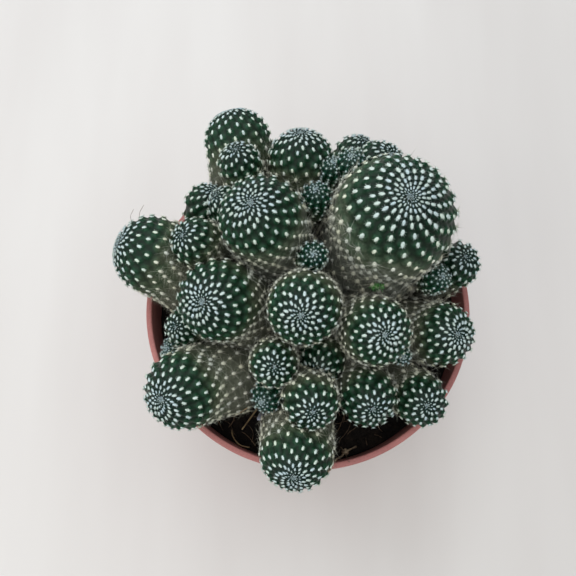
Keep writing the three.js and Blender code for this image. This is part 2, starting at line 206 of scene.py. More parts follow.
# radius and height of the pot's inner face, from the floor to the lip
innerWall = [(0.0441, 0.0024), (0.0585, 0.077), (0.0603, 0.080), (0.0627, 0.0994)]
soilShape = {
    "top": 0.087, "lump": 0.0009, "underside": 0.00275, "wallGap": 0.00035,
    "steps": 168, "ringStep": 0.0011, "grain": 0.0007,
}
stemShape = {
    "footShare": 0.55, "footDepth": 0.008, "footRise": 0.004, "flattening": 0.93,
    "fullWidthShare": 0.72, "footDome": 0.4, "bendShare": 0.42, "axisSteps": 22,
    "inset": 0.0002, "neighbourGap": 0.0002, "soilGap": 0.0004, "potGap": 0.0012,
    "curveSteps": 400, "footSteps": 80, "slopeStep": 2e-5, "deepest": 0.05, "pressRounds": 11,
}


def innerRadiusAt(z):
    return np.interp(z, [p[1] for p in innerWall], [p[0] for p in innerWall])


# the soil's low lumps, the same as on its solid
def soilHeight(x, y):
    x, y = x * 1000, y * 1000
    coarse = np.sin(x * 0.21 + 1.3) * np.cos(y * 0.17 - 0.6)
    fine = np.sin(x * 0.47 - y * 0.39 + 2.1)
    return soilShape["top"] + soilShape["lump"] * (0.65 * coarse + 0.35 * fine)


def unit(rows):
    return rows / np.maximum(np.linalg.norm(rows, axis=-1, keepdims=True), 1e-12)


def radiusAlong(stem, distance):
    full = stemShape["fullWidthShare"]
    share = smoothStep((distance / stem["freeLength"] - full) / (1 - full))
    return stem["radius"] + (stem["footRadius"] - stem["radius"]) * share


# one stem: a bent axis from the crown's middle to the foot, with a ball at each step
def makeStem(name, crown, radius, lean, toward, foot, greenTo=3.0, footShare=stemShape["footShare"]):
    k, tilt, turn = stemShape, math.radians(lean), math.radians(toward)
    aim = np.array([math.sin(tilt) * math.cos(turn), math.sin(tilt) * math.sin(turn), math.cos(tilt)])
    crown = np.array(crown) / 1000 + [0, 0, potShape["height"]]
    inSoil = len(foot) == 2
    height = soilShape["top"] + k["footRise"] if inSoil else potShape["height"] + foot[2] / 1000
    base = np.array([foot[0] / 1000, foot[1] / 1000, height])
    rise = np.array([0, 0, 1.0]) if inSoil else unit(crown - base)
    bend = np.linalg.norm(crown - base) * k["bendShare"]
    t = np.linspace(0, 1, k["curveSteps"])[:, None]
    near, far = crown - aim * bend, base + rise * bend
    line = crown * (1 - t) ** 3 + near * 3 * t * (1 - t) ** 2 + far * 3 * t * t * (1 - t) + base * t ** 3
    freeLength = np.linalg.norm(np.diff(line, axis=0), axis=1).sum()
    if inSoil:
        t = np.linspace(0, 1, k["footSteps"])[1:, None]
        sunk = k["footDepth"] + k["footRise"]
        line = np.vstack([line, base - np.array([0, 0, 1]) * t * sunk])
    passed = np.concatenate([[0], np.cumsum(np.linalg.norm(np.diff(line, axis=0), axis=1))])
    stops = np.linspace(0, passed[-1], k["axisSteps"] + 1)
    at, ahead, behind = [np.stack([np.interp(stops + shift, passed, line[:, j]) for j in range(3)], 1)
                         for shift in (0, k["slopeStep"], -k["slopeStep"])]
    down = unit(ahead - behind)
    side = np.cross([0, 0, 1], aim)
    if np.linalg.norm(side) < 0.05:  # an upright stem has no side of its own
        side = np.array([0, 1.0, 0])
    out = unit(side - down * (down @ side)[:, None])
    stem = {"name": name, "radius": radius / 1000, "footRadius": radius / 1000 * footShare,
            "length": passed[-1], "freeLength": freeLength, "inSoil": inSoil, "foot": base, "aim": aim,
            "at": at, "down": down, "out": out, "across": -np.cross(down, out), "greenTo": greenTo,
            "phase": foot[0], "young": name.startswith("pup"), "capEnd": radius / 1000 * math.pi / 2}
    stem["slot"] = "pup_skin" if stem["young"] else "cactus_skin"
    stem["ballRadius"] = radiusAlong(stem, stops)
    return stem


def distanceTo(stem, points):
    least = np.full(len(points), 1.0)
    for centre, radius in zip(stem["at"], stem["ballRadius"]):
        least = np.minimum(least, np.linalg.norm(points - centre, axis=1) - radius)
    return least


# true where points of a stem keep clear of its neighbours, the soil and the pot
def isFree(stem, points):
    own = distanceTo(stem, points)
    free = np.ones(len(points), bool)
    for other in stem["neighbours"]:
        free &= distanceTo(other, points) - own > stemShape["neighbourGap"]
    aside = np.hypot(points[:, 0] - stem["foot"][0], points[:, 1] - stem["foot"][1])
    inHole = stem["inSoil"] & (aside < stem["footRadius"] + 1e-5)
    free &= inHole | (points[:, 2] > soilHeight(points[:, 0], points[:, 1]) + stemShape["soilGap"])
    inward = innerRadiusAt(points[:, 2]) - np.hypot(points[:, 0], points[:, 1])
    over = np.hypot(np.maximum(0, inward), points[:, 2] - potShape["height"])
    return free & (np.where(points[:, 2] < potShape["height"], inward, over) > stemShape["potGap"])


# crowded stems flatten each other: points are drawn in along their own rays until they are free
def press(stem, anchors, points):
    pressed = points.copy()
    rows = np.where(~isFree(stem, points))[0]
    if not len(rows):
        return pressed
    inside, outside = np.full(len(rows), stemShape["deepest"]), np.ones(len(rows))
    for _ in range(stemShape["pressRounds"]):
        middle = (inside + outside) / 2
        good = isFree(stem, anchors[rows] + (points[rows] - anchors[rows]) * middle[:, None])
        inside, outside = np.where(good, middle, inside), np.where(good, outside, middle)
    pressed[rows] = anchors[rows] + (points[rows] - anchors[rows]) * inside[:, None]
    return pressed


# places on a stem's outline, s from the tip, turned about the axis and sunk by a drop
def surfaceAt(stem, s, angle, drop=0.0):
    k, capEnd = stemShape, stem["capEnd"]
    onCap, inFoot = s < capEnd, s > capEnd + stem["length"]
    capAngle = s / stem["radius"]
    footAngle = np.clip((s - capEnd - stem["length"]) / stem["footRadius"], 0, math.pi / 2)
    distance = np.clip(s - capEnd, 0, stem["length"])
    radius = np.where(onCap, stem["radius"] * np.sin(capAngle), radiusAlong(stem, distance))
    radius = np.where(inFoot, stem["footRadius"] * np.cos(footAngle), radius)
    rise = np.where(onCap, stem["radius"] * k["flattening"] * np.cos(capAngle), 0)
    rise = np.where(inFoot, -stem["footRadius"] * k["footDome"] * np.sin(footAngle), rise)
    step = distance / stem["length"] * k["axisSteps"]
    i = np.minimum(step.astype(int), k["axisSteps"] - 1)
    share = (step - i)[:, None]
    anchor, out, across, down = [stem[key][i] * (1 - share) + stem[key][i + 1] * share
                                 for key in ("at", "out", "across", "down")]
    shrink = 1 - np.minimum(drop / np.maximum(np.hypot(radius, rise), 1e-5), 0.5)
    aside = unit(out) * np.cos(angle)[:, None] + unit(across) * np.sin(angle)[:, None]
    point = anchor + aside * (radius * shrink)[:, None] - unit(down) * (rise * shrink)[:, None]
    return anchor, point, radius


# --- tubercles stand in rows that run out from the tip: each is turned on from the last by a
# share of a circle, and their pitch along a row widens outwards
spiral = {"least": 0.0008, "opening": 0.8, "widestOpening": 0.016, "woolRadius": 0.085,
          "widestWool": 0.0013, "curl": 0.7, "curlReach": 0.3, "stray": 0.05, "samples": 3000,
          "crowding": 0.26, "crowdingFrom": 0.035, "crowdedTo": 0.8, "crowdingFade": 1.4}
rowKinds = {
    "pup": {"upTo": 0, "rows": 11, "turn": 0.2741, "pitch": 0.0022, "widest": 0.0028},
    "small": {"upTo": 0.0115, "rows": 13, "turn": 0.3829, "pitch": 0.0036, "widest": 0.0041},
    "middle": {"upTo": 0.018, "rows": 18, "turn": 0.2769, "pitch": 0.0042, "widest": 0.0041},
    "giant": {"upTo": 1, "rows": 21, "turn": 0.38195, "pitch": 0.0049, "widest": 0.0045},
}
goldenAngle = math.pi * (3 - math.sqrt(5))


def rowsOf(stem):
    if stem["young"]:
        return rowKinds["pup"]
    return next(kind for kind in rowKinds.values() if stem["radius"] < kind["upTo"])


def pitchAt(stem, s):
    kind = rowsOf(stem)
    opening = min(spiral["opening"] * stem["radius"], spiral["widestOpening"])
    return np.minimum(spiral["least"] + kind["pitch"] * (1 - np.exp(-s / opening)), kind["widest"])


# radius of the woolly spot right on the tip
def woolAt(stem):
    return min(spiral["woolRadius"] * stem["radius"], spiral["widestWool"])


# distance between neighbours, taken as evenly packed (1.07 is the ratio for a hexagon)
def spacingAt(stem, s, radius):
    return 1.07 * np.sqrt(pitchAt(stem, s) * 2 * math.pi * radius / rowsOf(stem)["rows"]) + 2e-5


# 1 on the side that faces out of the clump, -1 on the side that faces in, less near the middle
def facingOut(stem, angle):
    x, y = stem["at"][0][:2]
    away = np.array([x, y, 0]) / max(math.hypot(x, y), 1e-6)
    turn = math.atan2(away @ stem["across"][0], away @ stem["out"][0])
    return np.cos(angle - turn) * min(1, math.hypot(x, y) / spiral["crowdingFrom"])


def makeTips(stem):
    end = stem["capEnd"] + stem["length"]
    s = np.linspace(woolAt(stem), end, spiral["samples"])
    rows = rowsOf(stem)["rows"]
    density = rows / pitchAt(stem, s)
    count = np.concatenate([[0], np.cumsum((density[1:] + density[:-1]) / 2 * np.diff(s))])
    n = np.arange(int(count[-1]))
    at = np.interp(n + 0.5, count, s)
    hand = 1 if stem["phase"] % 2 else -1
    curl = spiral["curl"] * np.exp(-at / (spiral["curlReach"] * stem["radius"]))
    rng = np.random.default_rng(int(abs(stem["phase"]) * 10) + 3)
    stray = rng.normal(0, spiral["stray"], (2, len(n)))
    turn = n * 2 * math.pi * rowsOf(stem)["turn"] + curl
    angle = hand * turn + stray[0] * 2 * math.pi / rows + stem["phase"]
    # the side that faces out of the clump is crowded, the side that faces in is drawn out
    beyond = (at / stem["radius"] - spiral["crowdedTo"]) / spiral["crowdingFade"]
    share = spiral["crowding"] * (1 - smoothStep(beyond))
    return at * (1 - share * facingOut(stem, angle)) + stray[1] * pitchAt(stem, at), angle


stems = [makeStem(f"{kind}_{i + 1:02}", *row) for kind, rows in (("head", headList), ("pup", pupList))
         for i, row in enumerate(rows)]
for stem in stems:
    stem["neighbours"] = [other for other in stems if other is not stem and any(
        distanceTo(other, stem["at"]) < stem["ballRadius"] + 0.004)]
    stem["tips"] = makeTips(stem)
print("stems and camera placed")


# --- cactus epidermis: waxy skin over watery flesh, deep bluish green with a soft sheen near
# the tip, dull grey-brown cork low on the flank where it has aged. Blotches are 9 mm across,
# wrinkles 1.6 mm, and the pores are drawn 0.8 mm coarse to show
def makeSkinMaterial(name, greens, corks):
    material, tree, shader, place = newMaterial(name, 0.5, 1.42, 0.24)
    age = addNode(tree, "Attribute", {"attribute_name": "age"}).outputs["Fac"]
    valley = addNode(tree, "Attribute", {"attribute_name": "valley"}).outputs["Fac"]
    blotch = addNode(tree, "TexNoise", {"Scale": perMetre(9), "Detail": 3.0}, {"Vector": place})
    speck = addNode(tree, "TexNoise", {"Scale": perMetre(0.8), "Detail": 4.0, "Roughness": 0.65},
                    {"Vector": place})
    shift = addNode(tree, "MapRange", {"To Min": -0.16, "To Max": 0.16}, {0: blotch})
    fleck = addNode(tree, "MapRange", {"To Min": -0.1, "To Max": 0.1}, {0: speck})
    aged = addNode(tree, "Math", {"operation": "ADD"}, {0: age, 1: shift})
    aged = addNode(tree, "Math", {"operation": "ADD"}, {0: aged, 1: fleck})
    skin = addNode(tree, "ValToRGB", {"stops": greens + corks}, {"Fac": aged})
    grain = addNode(tree, "ValToRGB", {"stops": [(0.3, "#8f8f8f"), (0.7, "#ffffff")]}, {"Fac": speck})
    skin = addNode(tree, "Mix", {**multiply, 0: 0.7}, {6: skin, 7: grain})
    # painted shade: the skin's colour is darkened down between the tubercles, where shade falls
    furrowShade = addNode(tree, "ValToRGB", {"stops": [(0.1, "#ffffff"), (0.95, "#7c8277")]}, {"Fac": valley})
    skin = addNode(tree, "Mix", {**multiply, 0: 1.0}, {6: skin.outputs[2], 7: furrowShade})
    rough = addNode(tree, "MapRange", {"From Min": 0.35, "From Max": 0.7, "To Min": 0.42, "To Max": 0.85},
                    {0: aged})
    wrinkle = addNode(tree, "TexNoise", {"Scale": perMetre(1.6), "Detail": 5.0, "Roughness": 0.6},
                      {"Vector": place})
    ground = addNode(tree, "Bump", {"Strength": 0.35, "Distance": 0.0004}, {"Height": wrinkle})
    bump = addNode(tree, "Bump", {"Strength": 0.3, "Distance": 0.00012},
                   {"Height": speck, "Normal": ground})
    link(tree, {"Base Color": skin.outputs[2], "Roughness": rough, "Normal": bump}, shader)
    return material


# the two oldest heads get a lighter copy of the cork, painted light for their low flanks, which lie in
# deep shade between the heads; the pups have a fresher, bluer green
oldGreens = [(0.0, "#0d3a31"), (0.14, "#0c3a2a"), (0.28, "#194a2f"), (0.38, "#27543a")]
youngGreens = [(0.0, "#154c40"), (0.2, "#13523a"), (0.34, "#1e5536"), (0.41, "#2c5839")]
usualCork = [(0.45, "#425a40"), (0.53, "#57614b"), (0.62, "#686b5b"), (1.0, "#57584e")]
litCork = [(0.45, "#506850"), (0.53, "#6c7662"), (0.62, "#82877a"), (1.0, "#767970")]
oldSkin = makeSkinMaterial("waxy_cactus_epidermis", oldGreens, usualCork)
litCorkSkin = makeSkinMaterial("painted_light_corky_epidermis", oldGreens, litCork)
youngSkin = makeSkinMaterial("young_cactus_epidermis", youngGreens, usualCork)
litCorkHeads = ("head_01", "head_02")


# areole felt and spines: dry plant hair, matt, bluish white when new and cream with age. Single
# hairs are too fine to show, so the fluff is drawn 0.45 mm coarse
def makeHairMaterial(name, stops, roughness):
    material, tree, shader, place = newMaterial(name, roughness, 1.4, 0.2)
    age = addNode(tree, "Attribute", {"attribute_name": "age"}).outputs["Fac"]
    tint = addNode(tree, "Attribute", {"attribute_name": "tint"}).outputs["Fac"]
    fluff = addNode(tree, "TexNoise", {"Scale": perMetre(0.45), "Detail": 3.0}, {"Vector": place})
    colour = addNode(tree, "ValToRGB", {"stops": stops}, {"Fac": age})
    shade = addNode(tree, "ValToRGB", {"stops": [(0.3, "#c2c2bc"), (0.6, "#ffffff")]}, {"Fac": fluff})
    colour = addNode(tree, "Mix", {**multiply, 0: 0.75}, {6: colour, 7: shade})
    hue = addNode(tree, "ValToRGB", {"stops": [(0.0, "#eef3fb"), (0.5, "#ffffff"), (1.0, "#f9faf2")]},
                  {"Fac": tint})
    colour = addNode(tree, "Mix", {**multiply, 0: 1.0}, {6: colour.outputs[2], 7: hue})
    bump = addNode(tree, "Bump", {"Strength": 0.6, "Distance": 0.0001}, {"Height": fluff})
    link(tree, {"Base Color": colour.outputs[2], "Normal": bump}, shader)
    return material


wool = makeHairMaterial("areole_felt", [(0.0, "#708587"), (0.02, "#afc1c3"), (0.18, "#c8d8d5"),
                                        (0.4, "#d2e0d2"), (0.5, "#eef0e0"), (1.0, "#f0efe0")], 0.95)
spine = makeHairMaterial("horn_spine", [(0.0, "#b4c6c8"), (0.3, "#cfddd0"), (0.48, "#d3d6c5"),
                                        (0.7, "#cbc9b9"), (1.0, "#bfbba8")], 0.55)


# --- skins: a sphere's rings are laid along each stem's outline, then sunk between the tubercles.
# On the cork the tubercles are low and the ribs are gone
skinShape = {
    "step": 0.00062, "hiddenStep": 0.0016, "hiddenFrom": 0.75, "leastSides": 44, "samples": 2000,
    "height": 0.0013, "fullSpacing": 0.0039, "mound": 0.58, "rib": 0.5, "ribShare": 0.3,
    "ribAge": 0.3, "corkAge": 0.4, "ageBlend": 0.2, "corkLow": 0.65, "corkShadeFade": 0.6,
    "plainFrom": 0.8, "greenBySide": 0.14,
}


# 0 at the tip, 0.5 where the skin turns to cork, 1 at the foot
def ageAt(stem, s, angle):
    side = skinShape["greenBySide"] * (1 + facingOut(stem, angle))
    green = stem["greenTo"] * stem["radius"] * (1 + side)
    end = stem["capEnd"] + stem["length"]
    return np.where(s < green, 0.5 * s / green, 0.5 + 0.5 * (s - green) / np.maximum(end - green, 0.001))


def pairSquares(points, others):
    square = (points ** 2).sum(1)[:, None] + (others ** 2).sum(1) - 2 * points @ others.T
    return np.maximum(square, 0)


# 0 on a tubercle and 1 down between them; a low rib joins each one to the next in its row
def valleysAt(stem, points, tipPoints, spacing, age):
    k = skinShape
    low = smoothStep(np.sqrt(pairSquares(points, tipPoints).min(1)) / spacing / k["mound"])
    arm = rowsOf(stem)["rows"]
    if len(tipPoints) <= arm:
        return low
    start, along = tipPoints[:-arm], tipPoints[arm:] - tipPoints[:-arm]
    ahead = points @ along.T - (start * along).sum(1)
    reach = (along ** 2).sum(1)
    share = np.clip(ahead / reach, 0, 1)
    squares = pairSquares(points, start) - 2 * share * ahead + share ** 2 * reach
    rib = np.sqrt(np.maximum(squares.min(1), 0)) / spacing
    ribShare = k["ribShare"] * (1 - smoothStep((age - k["ribAge"]) / k["ageBlend"]))
    return np.minimum(low, 1 - ribShare * (1 - smoothStep(rib / k["rib"])))


def makeSkin(stem):
    k, capEnd = skinShape, stem["capEnd"]
    end = capEnd + stem["length"] + stem["footRadius"] * math.pi / 2
    dense = np.linspace(0, end, k["samples"])
    hidden = (dense - capEnd) / stem["freeLength"]
    hidden = smoothStep((hidden - k["hiddenFrom"]) / (1 - k["hiddenFrom"]))
    size = k["step"] + (k["hiddenStep"] - k["step"]) * hidden
    rings = np.concatenate([[0], np.cumsum(np.diff(dense) / size[1:])])
    sides = max(k["leastSides"], int(2 * math.pi * stem["radius"] / k["step"]))
    bm = bmesh.new()
    bmesh.ops.create_uvsphere(bm, u_segments=sides, v_segments=int(rings[-1]), radius=1)
    ball = np.array([v.co for v in bm.verts])
    polar = np.arccos(np.clip(ball[:, 2], -1, 1)) / math.pi
    s = np.interp(polar * rings[-1], rings, dense)
    angle = np.arctan2(ball[:, 1], ball[:, 0])
    anchors, base, ringRadius = surfaceAt(stem, s, angle)
    tipPoints = surfaceAt(stem, *stem["tips"])[1]
    age = ageAt(stem, s, angle)
    spacing = spacingAt(stem, s, ringRadius)
    low = valleysAt(stem, base, tipPoints, spacing, age)
    cork = smoothStep((age - k["corkAge"]) / k["ageBlend"])
    plain = smoothStep(((s - capEnd) / stem["freeLength"] - k["plainFrom"]) / (1 - k["plainFrom"]))
    height = k["height"] * np.minimum(1, spacing / k["fullSpacing"]) ** 1.3
    height = height * (1 - k["corkLow"] * cork) * (1 - plain)
    points = surfaceAt(stem, s, angle, stemShape["inset"] + low * height)[1]
    for vertex, point in zip(bm.verts, press(stem, anchors, points)):
        vertex.co = point
    bmesh.ops.recalc_face_normals(bm, faces=bm.faces)
    mesh = toMesh(bm, stem["name"])
    addAttribute(mesh, "age", age)
    # this attribute carries painted shade between the tubercles, made weaker on the cork
    addAttribute(mesh, "valley", low * (1 - k["corkShadeFade"] * cork))
    return mesh


skins = []
for stem in stems:
    # the two oldest heads wear the lighter cork, painted light for their shaded low flanks
    skin = youngSkin if stem["young"] else litCorkSkin if stem["name"] in litCorkHeads else oldSkin
    piece = makeObject("skin_" + stem["name"], makeSkin(stem), [skin], stem["slot"])
    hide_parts(stem["name"])
    skins.append(piece)
print("skins grown:", sum(len(piece.data.polygons) for piece in skins), "faces")


# --- areoles, drawn one unit long: fresh ones are teardrop pads of felt, blunt towards the tip,
# with spines that flare at their pointed end; old ones are round pads under a tangle of fine
# spines, and those on the pups are small stars
areoleKinds = {
    "fresh": {"long": 0.94, "wide": 0.66, "thick": 0.32, "point": 0.72, "shift": 0.06, "tails": 3,
              "sides": 7, "sideLength": 0.38, "sideWidth": 0.024},
    "old": {"long": 0.86, "wide": 0.68, "thick": 0.52, "point": 0.3, "shift": 0.0, "tails": 0,
            "sides": 12, "sideLength": 0.82, "sideWidth": 0.021},
    "star": {"long": 0.4, "wide": 0.38, "thick": 0.36, "point": 0.2, "shift": 0.05, "tails": 0,
             "sides": 7, "sideLength": 0.52, "sideWidth": 0.018},
}
tailShape = {"length": 0.5, "width": 0.06, "apart": 0.16, "flare": 1.1}
areoleVariants = 5


def addSpine(bm, start, direction, length, width, sag=None):
    direction = direction.normalized()
    before = set(bm.verts)
    bmesh.ops.create_cone(bm, cap_ends=True, segments=3, radius1=width, radius2=0, depth=length,
                          matrix=moveTo(start + direction * length / 2) @ turnedTo(direction))
    if sag:
        long = {e for v in bm.verts if v not in before for e in v.link_edges
                if e.calc_length() > length * 0.8}
        bmesh.ops.subdivide_edges(bm, edges=list(long), cuts=2)
    made = [v for v in bm.verts if v not in before]
    for face in {f for v in made for f in v.link_faces}:
        face.material_index = 1
    if sag:
        for vertex in made:
            along = (vertex.co - start).dot(direction) / length
            vertex.co += sag * along * along


def makeAreole(kind, seed):
    k, tail = areoleKinds[kind], tailShape
    rng = random.Random(seed)
    bm = bmesh.new()
    made = bmesh.ops.create_uvsphere(bm, u_segments=7, v_segments=4, radius=0.5,
                                     matrix=Matrix.Rotation(math.pi / 2, 4, "X"))["verts"]
    for vertex in made:
        narrow = (1 - k["point"] * (0.5 - vertex.co.y) ** 1.6) * (1 - 2 * max(0, vertex.co.y) ** 2)
        vertex.co = Vector((vertex.co.x * k["wide"] * narrow, vertex.co.y * k["long"] + k["shift"],
                            vertex.co.z * k["thick"] * narrow + k["thick"] * 0.25))
    for i in range(k["tails"]):
        flare = i / (k["tails"] - 1) - 0.5
        aim = Vector((flare * tail["flare"] + rng.uniform(-0.1, 0.1), -1, rng.uniform(0.05, 0.3)))
        addSpine(bm, Vector((flare * tail["apart"], 0.0, k["thick"] * 0.25)), aim,
                 tail["length"] * rng.uniform(0.85, 1.15), tail["width"])
    for i in range(k["sides"]):
        turn = 2 * math.pi * (i + rng.uniform(0.2, 0.8)) / k["sides"]
        if kind == "fresh":  # its side spines comb out left and right, none over the blunt end
            lean = rng.uniform(-0.9, 1.0)
            turn = math.pi - lean if i % 2 else lean
        out = Vector((math.cos(turn), math.sin(turn), rng.uniform(0.15, 0.6)))
        start = Vector((out.x * k["wide"] / 4, k["shift"] + out.y * k["long"] / 4, k["thick"] * 0.3))
        reach = k["sideLength"] * rng.uniform(0.8, 1.25)
        sag = None
        if kind == "old" and i % 3 == 0:  # a long loose spine that bends away
            reach *= 2
            sag = Vector((rng.uniform(-1, 1), rng.uniform(-1, 1), rng.uniform(-0.5, 0.2))) * 0.4
        addSpine(bm, start, out, reach, k["sideWidth"], sag)
    bmesh.ops.recalc_face_normals(bm, faces=bm.faces)
    return toMesh(bm, "areole_" + kind)


patterns = {kind: [makeAreole(kind, 20 + i) for i in range(areoleVariants)] for kind in areoleKinds}

# the youngest areoles crowd as small dots on a low disc of dark felt right on the tip
woolShape = {"spread": 1.1, "height": 0.1, "drop": 0.0005, "dots": 0.00046, "dotSize": 0.00062}
# the pads open over the first few millimetres, and are longer on a wider head
areoleLayout = {
    "least": 0.0002, "opened": 0.8, "opening": 0.0026, "longest": 0.0021, "usualRadius": 0.015,
    "oldSize": 1.1, "starLeast": 0.0007, "starShare": 0.6, "slimFrom": 0.76, "slimShare": 0.32,
    "fullPitch": 0.004, "mostPressed": 0.0014, "hiddenFrom": 0.96, "overSoil": 0.0005,
    "slopeStep": 2e-4, "insideBox": 5e-5,
}


def addCrownWool(bm, stem):
    width = woolAt(stem) * woolShape["spread"]
    middle = surfaceAt(stem, np.array([0.0]), np.array([0.0]), woolShape["drop"])[1][0]
    flat = Matrix.Diagonal((width, width, width * woolShape["height"], 1))
    bmesh.ops.create_uvsphere(bm, u_segments=14, v_segments=8, radius=1,
                              matrix=moveTo(middle) @ turnedTo(Vector(stem["aim"])) @ flat)


def sizeOf(kind, rng, stem, pitch, s, isDot):
    k = areoleLayout
    longest = k["longest"] * max(1, stem["radius"] / k["usualRadius"]) ** 0.7
    opened = k["opened"] * (1 - np.exp(-(s / k["opening"]) ** 2))
    size = min(pitch * opened + k["least"], longest) * rng.uniform(0.9, 1.12)
    slim = k["slimFrom"] + k["slimShare"] * min(1, pitch / k["fullPitch"])
    if isDot:
        size = woolShape["dotSize"] * rng.uniform(0.7, 1.2)
    if kind == "old":
        size, slim = k["oldSize"] * longest * rng.uniform(0.75, 1.15), 1.0
    if kind == "star":
        size, slim = (k["starLeast"] + k["starShare"] * pitch) * rng.uniform(0.9, 1.15), 1.0
    return size, slim


def placeAreoles(stem):
    k, rng = areoleLayout, random.Random(stem["name"])
    start = woolAt(stem)
    dots = int(math.pi * (start / woolShape["dots"]) ** 2)
    s = np.concatenate([start * np.sqrt((np.arange(dots) + 0.5) / dots), stem["tips"][0]])
    angle = np.concatenate([np.arange(dots) * goldenAngle, stem["tips"][1]])
    anchors, points, radius = surfaceAt(stem, s, angle, stemShape["inset"])
    pressed = press(stem, anchors, points)
    turned = angle + k["slopeStep"] / np.maximum(radius, 1e-4)
    aside = surfaceAt(stem, s, turned, stemShape["inset"])[1]
    below = surfaceAt(stem, s + k["slopeStep"], angle, stemShape["inset"])[1]
    east, south = unit(aside - points), unit(below - points)
    normal = unit(np.cross(south, east))
    normal *= np.sign((normal * (points - anchors)).sum(1))[:, None]
    age, pitch = ageAt(stem, s, angle), pitchAt(stem, s)
    hidden = np.linalg.norm(pressed - points, axis=1) > k["mostPressed"]
    hidden |= s > stem["capEnd"] + stem["freeLength"] * k["hiddenFrom"]
    hidden |= points[:, 2] < soilHeight(points[:, 0], points[:, 1]) + k["overSoil"]
    bm = bmesh.new()
    addCrownWool(bm, stem)
    ages, tints = [0.0] * len(bm.verts), [0.5] * len(bm.verts)
    for i in np.where(~hidden)[0]:
        kind = "old" if age[i] + rng.uniform(-0.05, 0.05) > 0.5 else "star" if stem["young"] else "fresh"
        pattern = rng.choice(patterns[kind])
        size, slim = sizeOf(kind, rng, stem, pitch[i], s[i], i < dots)
        z = Vector(normal[i])
        y = Matrix.Rotation(rng.uniform(-0.14, 0.14), 3, z) @ Vector(-south[i])
        x = y.cross(z)
        rows = [[x[j] * size * slim, y[j] * size, z[j] * size, pressed[i][j]] for j in range(3)]
        stamp(bm, pattern, Matrix(rows + [[0, 0, 0, 1]]))
        ages += [age[i]] * len(pattern.vertices)
        tints += [rng.random()] * len(pattern.vertices)
    mesh = toMesh(bm, "areoles_" + stem["name"])
    co = np.zeros(len(mesh.vertices) * 3, np.float32)
    mesh.vertices.foreach_get("co", co)
    # the outermost spines are kept inside the solids' box
    co = np.clip(co.reshape(-1, 3), np.array(cadLow) + k["insideBox"], np.array(cadHigh) - k["insideBox"])
    mesh.vertices.foreach_set("co", co.ravel())
    addAttribute(mesh, "age", ages)
    addAttribute(mesh, "tint", tints)
    makeObject("areoles_" + stem["name"], mesh, [wool, spine], stem["slot"])
    return len(ages)


print("areoles set:", sum(placeAreoles(stem) for stem in stems), "vertices")

# --- polypropylene: an injection-moulded pot, dusky brick red and matt, its sides faintly
# clouded and dusted by dried hard water. The mould's grain is drawn 0.7 mm coarse to show
potPlastic, tree, shader, place = newMaterial("matt_polypropylene", 0.55, 1.49, 0.3)
cloud = addNode(tree, "TexNoise", {"Scale": perMetre(22), "Detail": 4.0}, {"Vector": place})
fine = addNode(tree, "TexNoise", {"Scale": perMetre(0.7), "Detail": 3.0}, {"Vector": place})
colour = addNode(tree, "ValToRGB", {"stops": [(0.3, "#9e6662"), (0.5, "#ac716c"), (0.72, "#b67b75")]},
                 {"Fac": cloud})
dust = addNode(tree, "ValToRGB", {"stops": [(0.35, "#d9d3cf"), (0.6, "#ffffff")]}, {"Fac": fine})
colour = addNode(tree, "Mix", {**multiply, 0: 0.5}, {6: colour, 7: dust})
rough = addNode(tree, "MapRange", {"To Min": 0.48, "To Max": 0.7}, {0: cloud})
bump = addNode(tree, "Bump", {"Strength": 0.25, "Distance": 0.00008}, {"Height": fine})
link(tree, {"Base Color": colour.outputs[2], "Roughness": rough, "Normal": bump}, shader)


def spinProfile(profile, steps):
    bm = bmesh.new()
    verts = [bm.verts.new((r, 0, z)) for r, z in profile]
    edges = [bm.edges.new(pair) for pair in zip(verts, verts[1:])]
    bmesh.ops.spin(bm, geom=verts + edges, cent=(0, 0, 0), axis=(0, 0, 1), angle=2 * math.pi,
                   steps=steps, use_merge=True)
    bmesh.ops.remove_doubles(bm, verts=bm.verts, dist=1e-6)
    bmesh.ops.recalc_face_normals(bm, faces=bm.faces)
    return bm


def bevelRing(bm, edges, offset, segments):
    bmesh.ops.bevel(bm, geom=edges, offset=offset, segments=segments, profile=0.5,
                    affect="EDGES", material=-1)


# six holes through the floor let the water out
def drainCutter():
    p, cutter = potShape, bmesh.new()
    for i in range(p["drainHoles"]):
        angle = (i + 0.5) * 2 * math.pi / p["drainHoles"]
        spot = (p["drainCircle"] * math.cos(angle), p["drainCircle"] * math.sin(angle), p["floor"] / 2)
        bmesh.ops.create_cone(cutter, cap_ends=True, segments=32, depth=4 * p["floor"],
                              radius1=p["drainRadius"], radius2=p["drainRadius"], matrix=moveTo(spot))
    return addToScene("drain_cutter", toMesh(cutter, "drain_cutter"))


